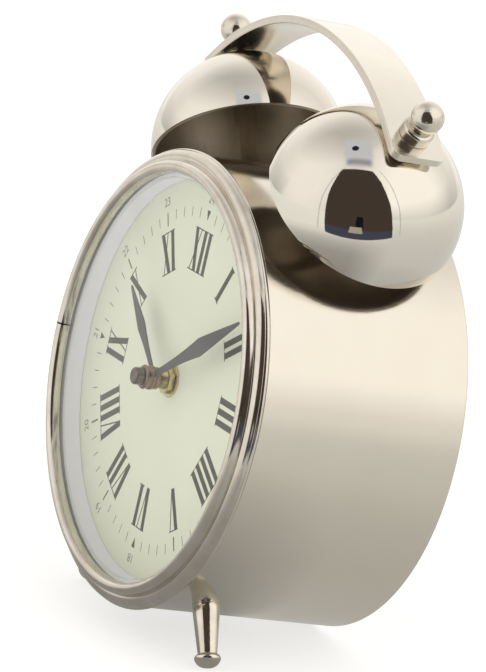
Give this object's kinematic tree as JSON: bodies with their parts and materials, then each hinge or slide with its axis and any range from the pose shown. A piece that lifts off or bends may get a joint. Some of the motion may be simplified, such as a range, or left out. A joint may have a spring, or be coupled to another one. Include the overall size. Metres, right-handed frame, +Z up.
{
  "type": "twin-bell table clock",
  "caption": "Round metal table clock on two front feet, with a bell on a post at each side of its top, an arched strap handle over them and a battery movement behind the dial.",
  "frame": {"origin": "on the surface that the clock stands on, under the middle of its bounding box", "axes": "+X to the right of the dial as it is read, +Y from the dial towards the back, +Z up; the drum leans back by 7.8 degrees"},
  "size_m": [0.197, 0.1278, 0.2642],
  "materials": {
    "polished_nickel": "warm polished nickel plate",
    "bell_nickel": "mirror polished nickel plate",
    "steel": "zinc plated",
    "brass": "plain brass",
    "hand_paint": "dark grey paint on thin aluminium",
    "cap_metal": "dark plated",
    "dial_paint": "printed pale green-cream paint",
    "ring_paint": "pale grey, satin",
    "clear_glass": "clear, domed",
    "black_plastic": "moulded black",
    "white_plastic": "moulded white",
    "green_board": "board with one potted chip",
    "rubber": "black sheet rubber",
    "cell_wrap": "plain sleeve"
  },
  "bodies": {
    "clock": {"case_drum": "polished_nickel", "bezel": "polished_nickel", "glass": "clear_glass", "dial_ring": "ring_paint", "dial": "dial_paint", "back_cover": "polished_nickel", "cover_screw_1": "steel", "cover_screw_2": "steel", "cover_screw_3": "steel", "cover_screw_4": "steel", "dial_gasket": "rubber", "dial_washer": "brass", "dial_nut": "brass", "centre_bush": "brass", "movement_case": "black_plastic", "movement_cover": "black_plastic", "drive_unit": "white_plastic", "circuit_board": "green_board", "contact_plus": "steel", "contact_minus": "steel", "left_bell": "bell_nickel", "left_bell_spacer": "polished_nickel", "left_bell_stud": "steel", "left_stud_saddle": "steel", "left_stud_nut": "steel", "left_bell_pad": "polished_nickel", "left_finial": "polished_nickel", "right_bell": "bell_nickel", "right_bell_spacer": "polished_nickel", "right_bell_stud": "steel", "right_stud_saddle": "steel", "right_stud_nut": "steel", "right_bell_pad": "polished_nickel", "right_finial": "polished_nickel", "handle_strap": "polished_nickel", "left_foot": "polished_nickel", "left_foot_screw": "steel", "right_foot": "polished_nickel", "right_foot_screw": "steel"},
    "minute_hand_set": {"minute_arbor": "brass", "minute_hand": "hand_paint", "hand_cap": "cap_metal"},
    "hour_hand_set": {"hour_wheel": "brass", "hour_hand": "hand_paint"},
    "minute_wheel_set": {"minute_wheel": "white_plastic"},
    "set_knob_set": {"set_shaft": "white_plastic", "set_knob": "white_plastic"},
    "battery_cell": {"battery": "cell_wrap"}
  },
  "joints": [
    {"name": "minute_hand_turn", "type": "hinge", "parent": "clock", "child": "minute_hand_set", "pos_m": [0, -0.03728, 0.10806], "axis": [0, 0.9907, -0.1357], "continuous": true},
    {"name": "hour_hand_turn", "type": "hinge", "parent": "clock", "child": "hour_hand_set", "pos_m": [0, -0.03728, 0.10806], "axis": [0, 0.9907, -0.1357], "continuous": true},
    {"name": "minute_wheel_turn", "type": "hinge", "parent": "clock", "child": "minute_wheel_set", "pos_m": [0.00848, -0.03613, 0.11647], "axis": [0, 0.9907, -0.1357], "continuous": true},
    {"name": "set_knob_turn", "type": "hinge", "parent": "clock", "child": "set_knob_set", "pos_m": [0, -0.03498, 0.12487], "axis": [0, 0.9907, -0.1357], "continuous": true},
    {"name": "battery_slide", "type": "slide", "parent": "clock", "child": "battery_cell", "axis": [0, 0.9907, -0.1357], "range_m": [0, 0.095]}
  ],
  "couplings": [
    {"joint": "hour_hand_turn", "follows": "minute_hand_turn", "ratio": 0.083333},
    {"joint": "minute_wheel_turn", "follows": "minute_hand_turn", "ratio": -0.33333},
    {"joint": "set_knob_turn", "follows": "minute_hand_turn", "ratio": 1}
  ]
}
